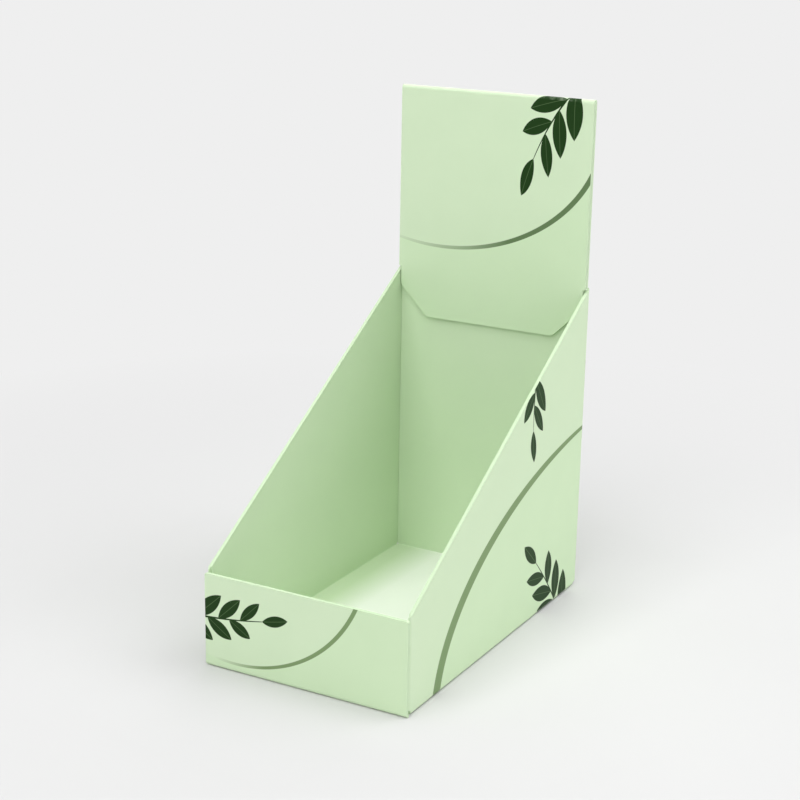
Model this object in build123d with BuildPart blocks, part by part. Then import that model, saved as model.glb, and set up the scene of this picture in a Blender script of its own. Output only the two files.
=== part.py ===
# Counter display box folded from one die-cut sheet of fine corrugated card.
# Its base carries a low front panel, two tapered side walls and a back panel.
# The back panel rises above the side walls as a header. It turns over at the
# top and comes down again in front of itself, so the header is two layers
# thick, and it ends in a tuck flap inside the box.
# The side walls have a glue flap at each end: the front ones lie behind the
# front panel, and the rear ones lie on the outside of the back panel.
#
# Millimetres. X is the width, the front faces -Y and Z is up. The origin is
# the middle of the footprint, on the surface that the box stands on.

import os

from build123d import *

# Driving dimensions
width = 110.0            # across the outer faces of the side walls
depth = 187.0            # from the front panel to the rear glue flaps
front_height = 47.5      # top edge of the front panel
shoulder_height = 163.0  # side walls at the back, where the header begins
header_height = 258.0    # top fold of the header
board = 1.6              # thickness of the card
crease_radius = 0.5      # inner radius of every square fold
header_air = 0.3         # air between the two layers of the header
header_inset = 0.8       # header's edges inside the outer faces of the side walls
glue_flap = 12.0         # reach of the glue flaps from the side walls
glue_flap_bevel = 4.0    # how much a flap's free end is shorter at each end
front_flap_drop = 3.0    # front flaps below the top of the front panel
rear_flap_drop = 6.0     # rear flaps below the shoulders
corner_relief = 0.6      # opening above the bottom creases at each corner
crease_notch = 1.0       # cut into a vertical crease above its glue flap
panel_play = 0.1         # back panel's edges to the inner faces of the side walls
tuck_play = 0.5          # tuck flap's edges to the side walls
tuck_depth = 27.0        # tuck flap below the shoulders
tuck_bevel = 16.0        # bevels on the tuck flap's lower corners
tuck_rounding = 4.0      # rounding where the bevels meet the straight edges
shoulder_play = 0.2      # header's lower corners above the side walls
die_rounding = 1.0       # small rounding of cut corners

# Places that follow from them
fold = crease_radius + board             # outer radius of a square fold
front = -depth / 2                       # outer face of the front panel
rear = depth / 2                         # outer face of the rear glue flaps
side = width / 2                         # outer face of a side wall
back = rear - board                      # outer face of the back panel
flap_front = front + board               # outer face of the front glue flaps
crease_x = side - fold                   # centre of the creases beside a wall
header_side = side - header_inset        # side edge of the header
taper = (shoulder_height - front_height) / depth
header_fold = board + header_air / 2     # outer radius of the top fold
header_face = back - 2 * board - header_air
header_foot = shoulder_height - board * taper + shoulder_play
flap_foot = fold + corner_relief
flap_end = side - glue_flap
tuck_foot = shoulder_height - tuck_depth


def crease(centre_line: Plane, length: float):
    """A quarter turn of the card in the plane's first quadrant, pushed along its normal."""
    with BuildSketch(centre_line) as quarter_turn:
        Circle(fold)
        Circle(crease_radius, mode=Mode.SUBTRACT)
        Rectangle(fold, fold, align=(Align.MIN, Align.MIN), mode=Mode.INTERSECT)
    extrude(quarter_turn.sketch, amount=length)


def cut_glue_flap(outer_face: Plane, cut: float, flap_top: float):
    """Cut a side wall's end to its crease and a flap with two bevelled ends."""
    with BuildSketch(outer_face) as waste:
        Rectangle(side, shoulder_height, align=(Align.MIN, Align.MIN))
        with BuildLine():
            Polyline(
                (side, flap_foot),
                (side, shoulder_height),
                (crease_x + crease_notch, shoulder_height),
                (crease_x + crease_notch, flap_top),
                (crease_x, flap_top),
                (flap_end, flap_top - glue_flap_bevel),
                (flap_end, flap_foot + glue_flap_bevel),
                (crease_x, flap_foot),
                close=True,
            )
        make_face(mode=Mode.SUBTRACT)
    extrude(waste.sketch, amount=cut, mode=Mode.SUBTRACT)


with BuildPart() as folded_box:
    # Plan of one side wall with its two glue flaps: a strip of card with two folds
    with BuildSketch(Plane.XY.offset(fold)) as wall_plan:
        with BuildLine():
            FilletPolyline(
                (flap_end, flap_front + board / 2),
                (side - board / 2, flap_front + board / 2),
                (side - board / 2, rear - board / 2),
                (flap_end, rear - board / 2),
                radius=crease_radius + board / 2,
            )
        trace(line_width=board)
    extrude(amount=shoulder_height - fold)

    # Tapered top edge, from the front panel's top up to the shoulder
    with BuildSketch(Plane.YZ):
        with BuildLine():
            Polyline(
                (front, front_height),
                (rear, shoulder_height),
                (front, shoulder_height),
                close=True,
            )
        make_face()
    extrude(amount=side, mode=Mode.SUBTRACT)

    # Outlines of the front and rear glue flaps
    cut_glue_flap(Plane.XZ.offset(-flap_front), -fold, front_height - front_flap_drop)
    cut_glue_flap(Plane.XZ.offset(-rear), fold, shoulder_height - rear_flap_drop)

    # Crease between the side wall and the base
    crease(
        Plane(origin=(crease_x, flap_front + fold, fold), x_dir=(1, 0, 0), z_dir=(0, 1, 0)),
        back - fold - (flap_front + fold),
    )

    # The other side wall
    mirror(about=Plane.YZ)

    # Base, flat between its four creases
    with BuildSketch():
        with Locations((0, (front + back) / 2)):
            Rectangle(2 * crease_x, back - front - 2 * fold)
    extrude(amount=board)

    # Creases between the base and the front and back panels: the front one is as
    # wide as its panel, and the back one as wide as the base
    crease(
        Plane(origin=(-side, front + fold, fold), x_dir=(0, -1, 0), z_dir=(1, 0, 0)),
        width,
    )
    crease(
        Plane(origin=(crease_x, back - fold, fold), x_dir=(0, 1, 0), z_dir=(-1, 0, 0)),
        2 * crease_x,
    )

    # Front panel, as wide as the box, so that its ends cover the front creases
    with BuildSketch(Plane.XZ.offset(-front)) as front_outline:
        with Locations((0, fold)):
            Rectangle(width, front_height - fold, align=(Align.CENTER, Align.MIN))
        fillet(front_outline.vertices().group_by(Axis.Y)[-1], die_rounding)
    extrude(amount=-board)

    # Back panel: it stands between the side walls and widens above the shoulders
    with BuildSketch(Plane.XZ.offset(-back)):
        with Locations((0, fold)):
            Rectangle(
                2 * (side - board - panel_play),
                header_foot - fold,
                align=(Align.CENTER, Align.MIN),
            )
        with Locations((0, header_foot)):
            Rectangle(
                2 * header_side,
                header_height - header_fold - header_foot,
                align=(Align.CENTER, Align.MIN),
            )
    extrude(amount=board)

    # Top fold of the header, a half turn over the air between the layers
    with BuildSketch(
        Plane(
            origin=(-header_side, back - header_fold, header_height - header_fold),
            x_dir=(0, 1, 0),
            z_dir=(1, 0, 0),
        )
    ):
        Circle(header_fold)
        Circle(header_air / 2, mode=Mode.SUBTRACT)
        Rectangle(
            2 * header_fold,
            header_fold,
            align=(Align.CENTER, Align.MIN),
            mode=Mode.INTERSECT,
        )
    extrude(amount=2 * header_side)

    # Front layer of the header, and the tuck flap that ends it inside the box
    with BuildSketch(Plane.XZ.offset(-header_face)) as header_outline:
        with Locations((0, header_foot)):
            Rectangle(
                2 * header_side,
                header_height - header_fold - header_foot,
                align=(Align.CENTER, Align.MIN),
            )
        with Locations((0, tuck_foot)):
            Rectangle(
                width - 2 * (board + tuck_play),
                header_foot - tuck_foot,
                align=(Align.CENTER, Align.MIN),
            )
        chamfer(header_outline.vertices().group_by(Axis.Y)[0], tuck_bevel)
        bevel_ends = header_outline.vertices().filter_by_position(
            Axis.Y, tuck_foot, tuck_foot + tuck_bevel
        )
        fillet(bevel_ends, tuck_rounding)
    extrude(amount=-board)

folded_box.part.label = "folded_box"

os.makedirs("parts", exist_ok=True)
export_step(folded_box.part, "parts/folded_box.step")
print("folded_box", folded_box.part.bounding_box(), "volume", round(folded_box.part.volume))
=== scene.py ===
# %% [markdown]
# # A counter display box in printed card
# The box is one sheet of card, folded and glued. Its solid comes from the packed
# frame with every fold, flap and cut edge in place, so nothing is modelled twice.
# What is left for this lesson is its finish: pale green print, plain cut edges,
# curved bands and small leafy sprigs, all worked out by shader nodes from the
# place of each point on the card. Then come a floor, lights and a camera.

# %% Load the frame
import math

import bmesh
import bpy
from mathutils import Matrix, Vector


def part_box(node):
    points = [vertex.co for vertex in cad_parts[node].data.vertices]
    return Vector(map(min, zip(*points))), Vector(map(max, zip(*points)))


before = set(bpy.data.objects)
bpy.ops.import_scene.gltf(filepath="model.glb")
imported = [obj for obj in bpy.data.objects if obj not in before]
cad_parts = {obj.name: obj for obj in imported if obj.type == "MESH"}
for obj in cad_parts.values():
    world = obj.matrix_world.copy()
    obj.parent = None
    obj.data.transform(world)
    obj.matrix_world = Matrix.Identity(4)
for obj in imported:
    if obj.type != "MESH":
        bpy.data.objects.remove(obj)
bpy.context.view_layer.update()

box_low, box_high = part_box("folded_box")
print("the box measures", [round(high - low, 4) for low, high in zip(box_low, box_high)], "m")

# %% [markdown]
# ## Sizes of the folded sheet
# The overall size is read from the frame. The rest are the few measures that tell
# where one panel ends and the next begins, so that print and cut edges can be
# placed. They are in millimetres, because a maker thinks of card in millimetres.
# A surface that is found by its place may be a hair off, and still counts.

# %% Name the sizes
MM = 0.001
width = (box_high.x - box_low.x) / MM
depth = (box_high.y - box_low.y) / MM
header_top = box_high.z / MM
side = width / 2
front = -depth / 2
rear = depth / 2

board = 1.6              # thickness of the card
fold = 2.1               # outer radius of a square fold
shoulder_height = 163.0  # top of the side walls, where the header begins
header_inset = 0.8       # header's edges inside the outer faces of the side walls
header_air = 0.3         # air between the header's two layers
header_face = rear - 3 * board - header_air
header_fold = board + header_air / 2
hair = 0.2
print("width", round(width, 2), "depth", round(depth, 2), "header top", round(header_top, 2), "mm")

# %% [markdown]
# ## A small language for finishes
# A finish is a tree of shader nodes. Written out by hand, even a simple formula
# takes many lines, so a number that changes over the surface is wrapped in a small
# class: an expression such as `1 - mask * 0.5` then adds its own Math nodes.
# Colours are mixed by Mix nodes instead, because a Math node would turn them grey.

# %% Wrap a value that changes over the surface
class Value:
    """One number on a surface. Its operators add Math nodes to the recipe."""

    def __init__(self, recipe, socket):
        self.recipe = recipe
        self.socket = socket

    def math(self, operation, *numbers, clamp=False):
        """Add one Math node that works on these values or plain numbers."""
        settings = {"operation": operation, "use_clamp": clamp}
        node = self.recipe.node("ShaderNodeMath", settings, dict(enumerate(numbers)))
        return Value(self.recipe, node.outputs[0])

    def __add__(self, other):
        return self.math("ADD", self, other)

    def __radd__(self, other):
        return self.math("ADD", other, self)

    def __sub__(self, other):
        return self.math("SUBTRACT", self, other)

    def __rsub__(self, other):
        return self.math("SUBTRACT", other, self)

    def __mul__(self, other):
        return self.math("MULTIPLY", self, other)

    def __rmul__(self, other):
        return self.math("MULTIPLY", other, self)

    def __truediv__(self, other):
        return self.math("DIVIDE", self, other)

    def __rtruediv__(self, other):
        return self.math("DIVIDE", other, self)

    def __abs__(self):
        return self.math("ABSOLUTE", self)


print("a value can be added, subtracted, multiplied and divided")

# %% [markdown]
# ## Masks
# A mask is 1 where a finish shows and 0 where it doesn't. A hard step would look
# jagged, so each step has a soft width of about a tenth of a millimetre, and a
# gradual change, such as a fade, is only a step with a much larger width.

# %% Make masks from values
SOFT = 0.12


def ramp(value, start, end):
    """Goes from 0 to 1 as the value goes from the start to the end."""
    progress = (value - start) / (end - start)
    return progress.math("ADD", progress, 0, clamp=True)


def above(value, limit, softness=SOFT):
    return ramp(value, limit - softness / 2, limit + softness / 2)


def below(value, limit, softness=SOFT):
    return 1 - above(value, limit, softness)


def within(value, low, high, softness=SOFT):
    return above(value, low, softness) * below(value, high, softness)


def either(first, second):
    """1 where one mask or the other is 1."""
    return first.math("MAXIMUM", first, second)


def distance(across, along):
    """Length of the line from the origin to the point (across, along)."""
    squares = across * across + along * along
    return squares.math("SQRT", squares)


print("a step is", SOFT, "mm wide")

# %% [markdown]
# ## Recipes
# A material and a world are both made of nodes, so one class serves for both. All
# nodes come from its `node` method, which sets the node's choices before it fills
# or links the sockets, since a choice may change which sockets there are. The
# nodes that mix have several sockets of one name, so those are picked by number.

# %% Start a recipe and add nodes to it
COLOUR_OFF, COLOUR_ON, COLOUR_OUT = 6, 7, 2
SHADER_OFF, SHADER_ON = 1, 2


class Recipe:
    """The nodes of a material or of the world."""

    def __init__(self, owner):
        owner.use_nodes = True
        self.tree = owner.node_tree
        self.tree.nodes.clear()

    def node(self, kind, settings, sockets):
        """Add a node: its settings first, then a value or a link for each socket."""
        node = self.tree.nodes.new(kind)
        for name, setting in settings.items():
            setattr(node, name, setting)
        for key, given in sockets.items():
            if isinstance(given, Value):
                self.tree.links.new(given.socket, node.inputs[key])
            else:
                node.inputs[key].default_value = given
        return node

    def made(self, kind, settings, sockets, output=0):
        """Add a node and give one of its outputs as a value."""
        return Value(self, self.node(kind, settings, sockets).outputs[output])

    def split(self, coordinates):
        """The x, y and z of one kind of texture coordinates."""
        vector = self.made("ShaderNodeTexCoord", {}, {}, coordinates)
        node = self.node("ShaderNodeSeparateXYZ", {}, {"Vector": vector})
        return [Value(self, node.outputs[axis]) for axis in "XYZ"]

    def place(self):
        """The point's x, y and z on the object, in millimetres."""
        return [metres / MM for metres in self.split("Object")]

    def facing(self):
        """The x, y and z of the direction that the surface faces."""
        return self.split("Normal")

    def mixed(self, mask, colour_off, colour_on, blend="MIX"):
        """A colour that goes from the first to the second as the mask goes from 0 to 1."""
        settings = {"data_type": "RGBA", "blend_type": blend}
        sockets = {"Factor": mask, COLOUR_OFF: colour_off, COLOUR_ON: colour_on}
        return self.made("ShaderNodeMix", settings, sockets, COLOUR_OUT)

    def mixed_shader(self, mask, shader_off, shader_on):
        """A surface or sky that goes from the first to the second with the mask."""
        sockets = {"Fac": mask, SHADER_OFF: shader_off, SHADER_ON: shader_on}
        return self.made("ShaderNodeMixShader", {}, sockets)

    def noise(self, scale):
        """Cloudy variation about 0.5, with `scale` blotches to the metre."""
        vector = self.made("ShaderNodeTexCoord", {}, {}, "Object")
        return self.made("ShaderNodeTexNoise", {}, {"Vector": vector, "Scale": scale}, "Fac")

    def ray(self, name):
        """1 for rays of one kind, such as those that come straight from the camera."""
        return self.made("ShaderNodeLightPath", {}, {}, name)


print("a recipe adds its own nodes")

# %% [markdown]
# ## Colours of the card
# The sheet is printed all over in one pale green, and the field below each band is
# a shade greener. The bands are a mid green and the leaves a deep one. The inside
# of the base has painted light, paler than the print, and painted shade along its
# side walls. The die leaves plain edges a little duller than the print. The colours
# are linear, as Blender keeps them.

# %% Name the colours
PALE_GREEN = (0.630, 0.768, 0.539, 1)
FIELD_GREEN = (0.610, 0.765, 0.515, 1)
# Painted light: the pale green of the middle of the base's inside. Painted shade: the darker green
# beside its side walls.
PAINTED_LIGHT_BASE_GREEN = (0.795, 0.830, 0.755, 1)
PAINTED_SHADE_BASE_GREEN = (0.570, 0.695, 0.475, 1)
CUT_EDGE = (0.575, 0.715, 0.490, 1)
WORN_GREEN = (0.720, 0.840, 0.640, 1)
CLOUD_TINT = (0.900, 0.930, 0.910, 1)
BAND_GREEN = (0.200, 0.300, 0.135, 1)
DEEP_BAND_GREEN = (0.120, 0.195, 0.085, 1)
LEAF_GREEN = (0.008, 0.036, 0.003, 1)
RIB_GREEN = (0.100, 0.170, 0.070, 1)
print("pale green", PALE_GREEN[:3])

# %% [markdown]
# ## Cut edges and creases
# The solid is one object, so its edges aren't picked by hand. They are found by
# place and by direction instead. A cut edge faces up, down or sideways at a few
# known places. A crease is any other surface that doesn't face squarely forwards,
# sideways or up, and there the ink is rubbed a little paler. A direction's length
# is 1, so each limit on one of its parts is the sine or cosine of an angle.

# %% Find the cut edges
STEEP = 0.7
SLANTED = 0.35
FACING_STEP = 0.02


def cut_edges(x, y, z, facing):
    """1 on the edges that the die cut, and 0 on the faces and folds of the sheet."""
    level = above(abs(facing[2]), SLANTED, FACING_STEP)
    off_the_base = above(z, 2 * fold)
    under_the_top_fold = below(z, header_top - 2 * header_fold)
    level_edges = level * off_the_base * under_the_top_fold

    sideways = above(abs(facing[0]), STEEP, FACING_STEP)
    header = above(z, shoulder_height - board) * above(abs(x), side - header_inset - hair)
    front_panel = below(y, front + board + hair)
    return either(level_edges, sideways * either(header, front_panel))


print("a surface counts as steep from", round(math.degrees(math.asin(STEEP))), "degrees")

# %% Find the creases
STRAIGHT = 0.98


def creases(facing):
    """1 on the bends of the card, and 0 wherever it is flat."""
    flat = above(abs(facing[0]), STRAIGHT, FACING_STEP)
    for part in facing[1:]:
        flat = either(flat, above(abs(part), STRAIGHT, FACING_STEP))
    return 1 - flat


print("a crease starts", round(math.degrees(math.acos(STRAIGHT))), "degrees off the flat")

# %% [markdown]
# ## A curved band
# Each band follows part of an ellipse and changes its width on the way. How far a
# point lies outside an ellipse has no short formula, but close to the line its
# height over the slope is exact enough, and it takes only a few nodes.

# %% Draw a curved band
def curved_band(across, up, band):
    """1 on a band along an ellipse, and the distance outwards from its middle line."""
    centre_across, centre_up = band["centre"]
    reach_across, reach_up = band["reach"]
    sideways = (across - centre_across) / reach_across
    upwards = (up - centre_up) / reach_up
    ring = distance(sideways, upwards)
    slope = distance(sideways / reach_across, upwards / reach_up) / ring
    outwards = (ring - 1) / slope

    start, end = band["from_to"]
    wide_start, wide_end = band["widths"]
    half_width = (wide_start + (across - start) * ((wide_end - wide_start) / (end - start))) / 2
    ink = ramp(across, *band["fade_in"])
    return above(half_width - abs(outwards), 0) * ink, outwards


print("a band follows an ellipse")

# %% [markdown]
# ## A sprig from one leaf
# Drawing a dozen leaves one by one would take a dozen copies of the same nodes.
# Instead the surface is given a new pair of axes, along the stem and away from it,
# and the first is cut into equal steps. A leaf is the overlap of two circles, drawn
# once for each step that can reach the point.

# %% Draw a leaf
def leaf(along, across, length, breadth):
    """1 inside a pointed leaf that starts at the origin and lies along the first axis."""
    bow = (length ** 2 + breadth ** 2) / (4 * breadth)
    from_middle = along - length / 2
    from_centre = abs(across) + (bow - breadth / 2)
    return below(distance(from_middle, from_centre), bow)


print("a leaf is the overlap of two circles")

# %% Draw a sprig
LEAF_LEAN = math.radians(38)
LEAF_SHRINK = 0.35
TIP_LEAF = 0.75
STEM_WIDTH = 1.1
STEM_TIP_WIDTH = 0.4
RIB_WIDTH = 0.32
STEPS_IN_REACH = 3
HALF_STEP = 0.5


def sprig_axes(across, up, sprig):
    """The distance along the bent stem, and the distance away from it."""
    turn = math.radians(sprig["heading"])
    right = across - sprig["foot"][0]
    rise = up - sprig["foot"][1]
    along = right * math.cos(turn) + rise * math.sin(turn)
    away = rise * math.cos(turn) - right * math.sin(turn)
    return along, away - along * along * sprig["bend"]


def sprig_masks(across, up, sprig):
    """1 on the leaves and stem, and 1 on the pale ribs of the leaves."""
    along, away = sprig_axes(across, up, sprig)
    steps, spacing = sprig["steps"], sprig["spacing"]
    length, breadth = sprig["leaf"]
    reach = steps * spacing

    taper = along * ((STEM_WIDTH - STEM_TIP_WIDTH) / reach)
    stem = above(STEM_WIDTH - taper - abs(away) * 2, 0) * within(along, 0, reach)
    leaves = leaf(along - reach, away, length * TIP_LEAF, breadth * TIP_LEAF)
    ribs = below(abs(away), RIB_WIDTH / 2) * leaves

    staggered = along + below(away, 0) * (spacing / 2)
    latest = staggered.math("FLOOR", staggered / spacing)
    for earlier in range(STEPS_IN_REACH):
        number = latest - earlier
        size = 1 - number * (LEAF_SHRINK / steps)
        forwards = (staggered - number * spacing) / size
        outwards = abs(away) / size
        leaf_along = forwards * math.cos(LEAF_LEAN) + outwards * math.sin(LEAF_LEAN)
        leaf_across = outwards * math.cos(LEAF_LEAN) - forwards * math.sin(LEAF_LEAN)
        on_the_stem = within(number, -HALF_STEP, steps - HALF_STEP)
        shape = leaf(leaf_along, leaf_across, length, breadth) * on_the_stem
        ribs = either(ribs, below(abs(leaf_across), RIB_WIDTH / 2) * shape)
        leaves = either(leaves, shape)
    return either(stem, leaves), ribs


print("a sprig is one leaf, repeated along a stem")

# %% [markdown]
# ## Where the print goes
# The places are given in millimetres on the panel, across it and up from the table.
# On the side walls, across means from front to back, so that the left wall is a
# mirror of the right one. The field side is 1 where the greener field lies outside
# the band's ellipse, and -1 where it lies inside. A sprig's foot lies just off the
# panel, because printed artwork runs past the edge and the die cuts it off.

# %% Lay out the header's print
HEADER_PRINT = {
    "band": {
        "centre": (-29.0, 245.1),
        "reach": (89.7, 69.8),
        "from_to": (-side, side),
        "widths": (1.4, 2.8),
        "fade_in": (-62.0, 10.0),
    },
    "band_colour": DEEP_BAND_GREEN,
    "field_side": 1,
    "sprigs": (
        {
            "foot": (44.0, 263.0),
            "heading": -130,
            "bend": 0.004,
            "steps": 3,
            "spacing": 14.0,
            "leaf": (25.0, 9.5),
        },
    ),
}
print("the header carries", len(HEADER_PRINT["sprigs"]), "sprig")

# %% Lay out the front panel's print
FRONT_PRINT = {
    "band": {
        "centre": (-38.4, 76.0),
        "reach": (72.2, 71.4),
        "from_to": (-side, side / 2),
        "widths": (1.2, 2.1),
        "fade_in": (-50.0, -22.0),
    },
    "band_colour": BAND_GREEN,
    "field_side": 1,
    "sprigs": (
        {
            "foot": (-60.0, 25.0),
            "heading": 3,
            "bend": 0.002,
            "steps": 3,
            "spacing": 12.5,
            "leaf": (19.0, 7.5),
        },
    ),
}
print("the front panel carries", len(FRONT_PRINT["sprigs"]), "sprig")

# %% Lay out the side walls' print
SIDE_PRINT = {
    "band": {
        "centre": (141.4, -10.3),
        "reach": (207.6, 101.9),
        "from_to": (front, rear),
        "widths": (7.9, 2.2),
        "fade_in": (2 * front, front),
    },
    "band_colour": BAND_GREEN,
    "field_side": -1,
    "sprigs": (
        {
            "foot": (70.0, -5.0),
            "heading": 125,
            "bend": 0.002,
            "steps": 3,
            "spacing": 15.0,
            "leaf": (26.0, 10.0),
        },
        {
            "foot": (32.0, 129.0),
            "heading": -98,
            "bend": 0.004,
            "steps": 2,
            "spacing": 13.0,
            "leaf": (22.0, 8.5),
        },
    ),
}
print("each side wall carries", len(SIDE_PRINT["sprigs"]), "sprigs")

# %% Print one panel
RIB_STRENGTH = 0.6


def print_panel(finish, colour, panel, across, up, layout):
    """Lay a panel's field, band and sprigs over the colour of the card."""
    band, outwards = curved_band(across, up, layout["band"])
    field = above(outwards * layout["field_side"], 0)
    colour = finish.mixed(field * panel, colour, FIELD_GREEN)
    colour = finish.mixed(band * panel, colour, layout["band_colour"])
    for sprig in layout["sprigs"]:
        shapes, ribs = sprig_masks(across, up, sprig)
        colour = finish.mixed(shapes * panel, colour, LEAF_GREEN)
        colour = finish.mixed(ribs * panel * RIB_STRENGTH, colour, RIB_GREEN)
    return colour


print("each panel gets its field first, then its band, then its sprigs")

# %% [markdown]
# ## Print that runs over the folds
# The blank is printed flat and folded afterwards, so the print goes on round each
# fold. Over the header's top fold the height is unrolled: past the fold's start it
# grows with the angle round the fold. The folds of the side walls are so small that
# the flat coordinates serve there too.

# %% Unroll the header over its top fold
def unrolled_height(y, z):
    """Height up the header's face, carried on round the top fold."""
    start = header_top - header_fold
    centre = rear - board - header_fold
    angle = z.math("ARCTAN2", z - start, centre - y)
    return z + above(z, start) * (start + angle * header_fold - z)


print("the top fold takes", round(math.pi * header_fold, 1), "mm of the sheet")

# %% Find the printed panels
FACING_OUT = 0.5


def printed_panels(x, y, z, facing):
    """Masks of the header with its top fold, the front panel and the outer side walls."""
    forwards = below(facing[1], -STEEP, FACING_STEP)
    header = forwards * within(y, header_face - hair, header_face + hair)
    header = either(header, above(z, header_top - header_fold))
    front_panel = forwards * below(y, front + hair)
    outwards = above(facing[0] * x / side, FACING_OUT, FACING_STEP)
    side_walls = outwards * above(abs(x), side - fold) * above(y, front + board)
    return header, front_panel, side_walls


print("three kinds of panel are printed")

# %% [markdown]
# ## The printed card
# Seen close, printed card isn't one flat colour. It is faintly cloudy, its grain
# shows in the sheen, and its creases are rubbed. The inside of the base has painted
# light, palest down the middle, and painted shade that brings it back to the green
# of the walls along its long folds. The sheen is low, as on matt card, so that the
# deep green leaves stay deep.

# %% Colour the card
# Painted shade: distances in mm from each side wall over which the base goes from its painted
# shade green to its painted light green.
PAINTED_SHADE_FROM_WALL = (8.0, 28.0)
CLOUD_SCALE = 45.0
CLOUD_STRENGTH = 0.5
RUBBED_BETWEEN = (0.45, 0.75)
RUBBED_STRENGTH = 0.2
RUB_SCALE = 260.0


def card_colour(finish, x, y, z, facing):
    """The card with painted light and shade on the inside of the base, then its print, its rubbed
    creases and its cut edges, one over the other.
    """
    base_inside = below(z, board + hair) * above(facing[2], STEEP, FACING_STEP)
    from_wall = side - board - abs(x)
    header, front_panel, side_walls = printed_panels(x, y, z, facing)
    edges = cut_edges(x, y, z, facing)
    rubbed = creases(facing) * (1 - edges) * ramp(finish.noise(RUB_SCALE), *RUBBED_BETWEEN)

    # Painted light and shade on the inside of the base: pale down the middle, and darker beside
    # the side walls, where shade falls.
    painted_base_light_and_shade = finish.mixed(ramp(from_wall, *PAINTED_SHADE_FROM_WALL), PAINTED_SHADE_BASE_GREEN, PAINTED_LIGHT_BASE_GREEN)
    colour = finish.mixed(base_inside, PALE_GREEN, painted_base_light_and_shade)
    colour = print_panel(finish, colour, header, x, unrolled_height(y, z), HEADER_PRINT)
    colour = print_panel(finish, colour, front_panel, x, z, FRONT_PRINT)
    colour = print_panel(finish, colour, side_walls, y, z, SIDE_PRINT)
    colour = finish.mixed(rubbed * RUBBED_STRENGTH, colour, WORN_GREEN)
    colour = finish.mixed(edges, colour, CUT_EDGE)
    return finish.mixed(finish.noise(CLOUD_SCALE) * CLOUD_STRENGTH, colour, CLOUD_TINT, "MULTIPLY")


print("the base fades over", PAINTED_SHADE_FROM_WALL[1] - PAINTED_SHADE_FROM_WALL[0], "mm beside each wall")

# %% Make the printed card
GRAIN_SCALE = 2600.0
GRAIN_DEPTH = 0.0002
GRAIN_STRENGTH = 0.05
ROUGHNESS = 0.5
GRAIN_ROUGHNESS = 0.1
SHEEN_LEVEL = 0.15


def printed_card():
    """The one material of the sheet."""
    material = bpy.data.materials.new("printed_card")
    finish = Recipe(material)
    x, y, z = finish.place()
    grain = finish.noise(GRAIN_SCALE)
    fibres = {"Strength": GRAIN_STRENGTH, "Distance": GRAIN_DEPTH, "Height": grain}
    card = {
        "Base Color": card_colour(finish, x, y, z, finish.facing()),
        "Roughness": ROUGHNESS + grain * GRAIN_ROUGHNESS,
        "Specular IOR Level": SHEEN_LEVEL,
        "Normal": finish.made("ShaderNodeBump", {}, fibres),
    }
    surface = finish.made("ShaderNodeBsdfPrincipled", {}, card)
    finish.node("ShaderNodeOutputMaterial", {}, {"Surface": surface})
    return material


folded_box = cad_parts["folded_box"]
card = printed_card()
for slot in folded_box.material_slots:
    slot.material = card
print("the box wears", card.name, "with", len(card.node_tree.nodes), "nodes")

# %% [markdown]
# ## Floor
# A wide round floor lies under the box. Near the box it is matt, so that it
# takes the soft shadow. Further out it turns into a plain glow that matches the
# backdrop, so that no edge shows in any view. To the camera the matt part is a
# little darker than it is to the light that it throws back on the box.

# %% Make the floor
BACKDROP = (0.863, 0.863, 0.863, 1)
FLOOR_SEEN = (0.62, 0.62, 0.62, 1)
FLOOR_BOUNCE = (0.80, 0.80, 0.80, 1)
GLOW_BETWEEN = (180.0, 530.0)
FLOOR_SIDES = 96
FLOOR_RADIUS = 6.0

floor_mesh = bmesh.new()
bmesh.ops.create_circle(floor_mesh, cap_ends=True, segments=FLOOR_SIDES, radius=FLOOR_RADIUS)
floor_data = bpy.data.meshes.new("floor")
floor_mesh.to_mesh(floor_data)
floor_mesh.free()
floor = bpy.data.objects.new("floor", floor_data)
bpy.context.scene.collection.objects.link(floor)


def floor_material():
    """Matt near the box, and a plain glow far from it."""
    material = bpy.data.materials.new("matt_floor")
    finish = Recipe(material)
    x, y = finish.place()[:2]
    seen = finish.ray("Is Camera Ray")
    far = ramp(distance(x, y), *GLOW_BETWEEN)
    colour = finish.mixed(seen, FLOOR_BOUNCE, FLOOR_SEEN)
    matt = finish.made("ShaderNodeBsdfDiffuse", {}, {"Color": colour})
    glow = finish.made("ShaderNodeEmission", {}, {"Color": BACKDROP})
    surface = finish.mixed_shader(far * seen, matt, glow)
    finish.node("ShaderNodeOutputMaterial", {}, {"Surface": surface})
    return material


floor_data.materials.append(floor_material())
print("the floor is", round(floor.dimensions.x, 2), "m across")

# %% [markdown]
# ## Backdrop
# The world does two jobs. As light it is dim and even, and only fills in the
# shadows. To the camera and in reflections it is the pale grey of a studio wall.

# %% Set the backdrop
AMBIENT = 0.3


def studio_world():
    """A dim light from all sides, behind which the camera sees a pale grey."""
    world = bpy.data.worlds.new("studio")
    sky = Recipe(world)
    shown = either(sky.ray("Is Camera Ray"), sky.ray("Is Glossy Ray"))
    ambient = sky.made("ShaderNodeBackground", {}, {"Strength": AMBIENT})
    backdrop = sky.made("ShaderNodeBackground", {}, {"Color": BACKDROP})
    surface = sky.mixed_shader(shown, ambient, backdrop)
    sky.node("ShaderNodeOutputWorld", {}, {"Surface": surface})
    return world


bpy.context.scene.world = studio_world()
print("the sky lights at", AMBIENT, "and shows at", BACKDROP[0])

# %% [markdown]
# ## Lamps
# Large square lamps give soft shadows. Each is placed by the angle from which it
# looks at one point inside the box, since that is how a photographer would say it.
# The list gives each lamp's azimuth and elevation in degrees and its power in watts.
# The powers were chosen so that each panel is about as bright as in the picture.

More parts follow.
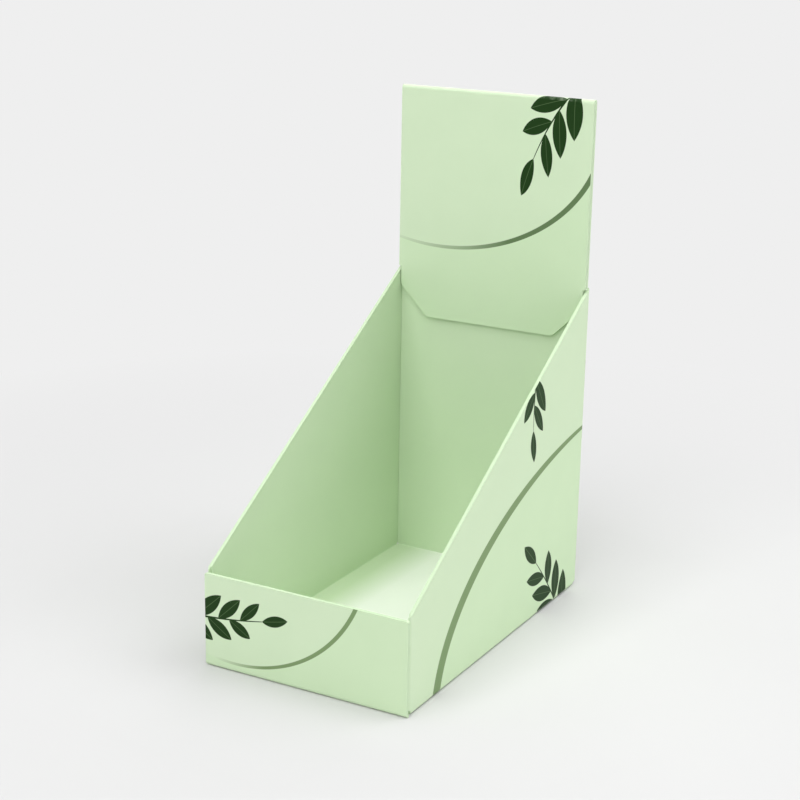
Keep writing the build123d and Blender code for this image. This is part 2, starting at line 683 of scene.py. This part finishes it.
# %% Hang the lamps
LAMP_SIZE = 1.2
LAMP_AWAY = 1.6
LAMP_AIM = Vector((0, 0, 0.1))
LAMPS = (
    ("top_lamp", 0, 88, 10.2),
    ("high_front_lamp", 0, 60, 10.0),
    ("front_lamp", 0, 35, 6.0),
    ("right_lamp", 75, 10, 3.1),
    ("rear_right_lamp", 120, 50, 12.6),
    ("left_lamp", -80, 40, 2.4),
    ("rear_lamp", 190, 30, 7.0),
)


def towards(azimuth, elevation):
    """Unit vector out from the box, at angles round from the front and up, in degrees."""
    turn = math.radians(azimuth)
    rise = math.radians(elevation)
    level = math.cos(rise)
    return Vector((math.sin(turn) * level, -math.cos(turn) * level, math.sin(rise)))


def soft_lamp(name, azimuth, elevation, power):
    """A square lamp that looks at the box from these angles."""
    lamp = bpy.data.lights.new(name, "AREA")
    lamp.size = LAMP_SIZE
    lamp.energy = power
    holder = bpy.data.objects.new(name, lamp)
    bpy.context.scene.collection.objects.link(holder)
    direction = towards(azimuth, elevation)
    holder.location = LAMP_AIM + direction * LAMP_AWAY
    holder.rotation_euler = direction.to_track_quat("Z", "Y").to_euler()


for name, azimuth, elevation, power in LAMPS:
    soft_lamp(name, azimuth, elevation, power)
print(len(LAMPS), "soft lamps")

# %% [markdown]
# ## Camera
# The camera stands to the right of the box and looks a little down on it. It was
# found by fitting the corners of the box to those in the picture, which also gave
# a slight roll and an optical centre a little below the middle of the frame.

# %% Place the camera
CAMERA_AZIMUTH = 28.86
CAMERA_ELEVATION = 17.90
CAMERA_ROLL = math.radians(1.08)
CAMERA_AWAY = 0.8782
CAMERA_TARGET = Vector((0, 0, 0.099))
SENSOR_WIDTH = 36.0
FRAME_PIXELS = 800.0
FOCAL_PIXELS = 1785.0
CENTRE_PIXELS = (405.0, 436.5)

backwards = towards(CAMERA_AZIMUTH, CAMERA_ELEVATION)
level_right = Vector((-backwards.y, backwards.x, 0)).normalized()
level_up = backwards.cross(level_right)
right = level_right * math.cos(CAMERA_ROLL) + level_up * math.sin(CAMERA_ROLL)
up = level_up * math.cos(CAMERA_ROLL) - level_right * math.sin(CAMERA_ROLL)

lens = bpy.data.cameras.new("camera")
lens.sensor_width = SENSOR_WIDTH
lens.lens = FOCAL_PIXELS / FRAME_PIXELS * SENSOR_WIDTH
lens.shift_x = (FRAME_PIXELS / 2 - CENTRE_PIXELS[0]) / FRAME_PIXELS
lens.shift_y = (CENTRE_PIXELS[1] - FRAME_PIXELS / 2) / FRAME_PIXELS
camera = bpy.data.objects.new("camera", lens)
bpy.context.scene.collection.objects.link(camera)

turned = camera.matrix_world.copy()
turned.col[0].xyz = right
turned.col[1].xyz = up
turned.col[2].xyz = backwards
turned.col[3].xyz = CAMERA_TARGET + backwards * CAMERA_AWAY
camera.matrix_world = turned
bpy.context.scene.camera = camera
bpy.context.scene.view_settings.view_transform = "Standard"
print("lens", round(lens.lens, 2), "mm")
